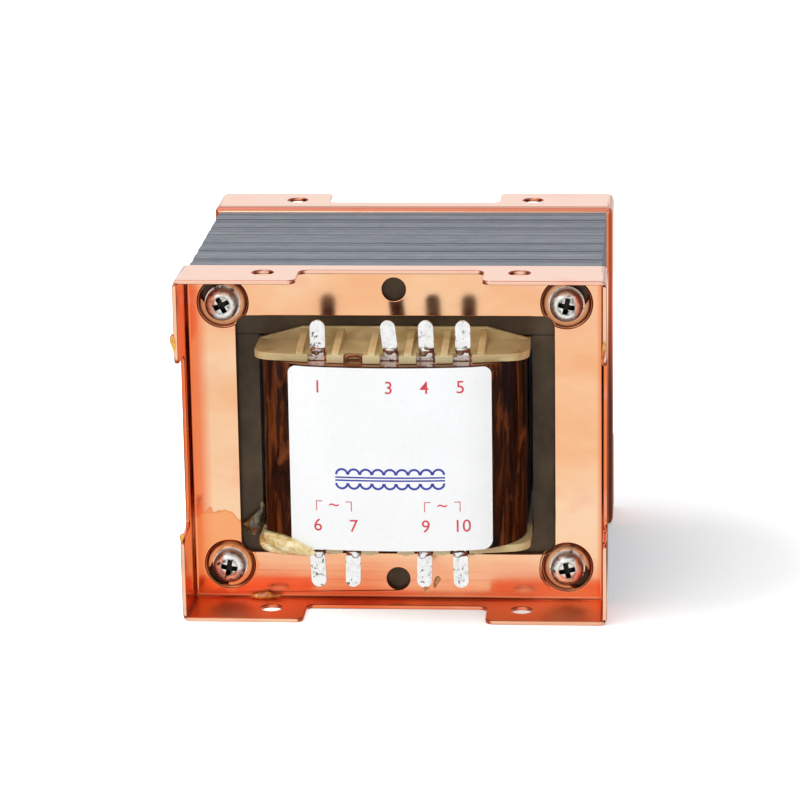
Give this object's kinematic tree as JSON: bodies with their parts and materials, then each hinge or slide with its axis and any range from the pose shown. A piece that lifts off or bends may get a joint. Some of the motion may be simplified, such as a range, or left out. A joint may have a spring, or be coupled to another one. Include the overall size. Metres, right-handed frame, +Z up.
{
  "type": "laminated chassis transformer",
  "caption": "Interleaved E and I core with a wound bobbin and solder lugs, clamped between pressed copper-plated end brackets with mounting ears.",
  "frame": {"origin": "middle of the underside, between the four lower ears", "axes": "+X to the right seen from the labelled front, +Y away from the labelled front along the core's stack, +Z up"},
  "size_m": [0.1178, 0.1202, 0.0977],
  "materials": {
    "copper_plate": "copper-plated pressed steel, bright with soft streaks",
    "core_steel": "silicon steel sheet edges under thin varnish",
    "core_steel_closing": "silicon steel sheet edges under thin varnish",
    "bobbin_nylon": "cream moulding with amber varnish",
    "enamelled_wire": "enamelled copper turns",
    "layer_insulation": "insulating paper",
    "copper_foil": "bare copper foil",
    "varnished_wrap": "dark red-brown sheet under gloss varnish",
    "label_paper": "white paper, satin",
    "tinned_lug": "tinned brass with mottled solder",
    "lead_wire": "enamelled copper wire",
    "plated_screw": "nickel plated steel",
    "plated_washer": "nickel plated steel",
    "sleeve_paper": "fish paper tube"
  },
  "bodies": {
    "root": {"front_bracket": "copper_plate", "rear_bracket": "copper_plate", "e_laminations_upright": "core_steel", "i_laminations_upper": "core_steel_closing", "e_laminations_inverted": "core_steel", "i_laminations_lower": "core_steel_closing", "bobbin": "bobbin_nylon", "primary_winding": "enamelled_wire", "high_voltage_winding": "enamelled_wire", "upper_heater_winding": "enamelled_wire", "lower_heater_winding": "enamelled_wire", "primary_insulation": "layer_insulation", "screen_insulation": "layer_insulation", "high_voltage_insulation": "layer_insulation", "screen_foil": "copper_foil", "outer_wrap": "varnished_wrap", "label": "label_paper", "front_upper_lugs": "tinned_lug", "front_lower_lugs": "tinned_lug", "rear_upper_lugs": "tinned_lug", "rear_lower_lugs": "tinned_lug", "front_leads": "lead_wire", "rear_leads": "lead_wire", "clamp_screws": "plated_screw", "front_washers": "plated_washer", "rear_washers": "plated_washer", "spring_washers": "plated_washer", "hex_nuts": "plated_screw", "bolt_sleeves": "sleeve_paper"}
  },
  "joints": []
}
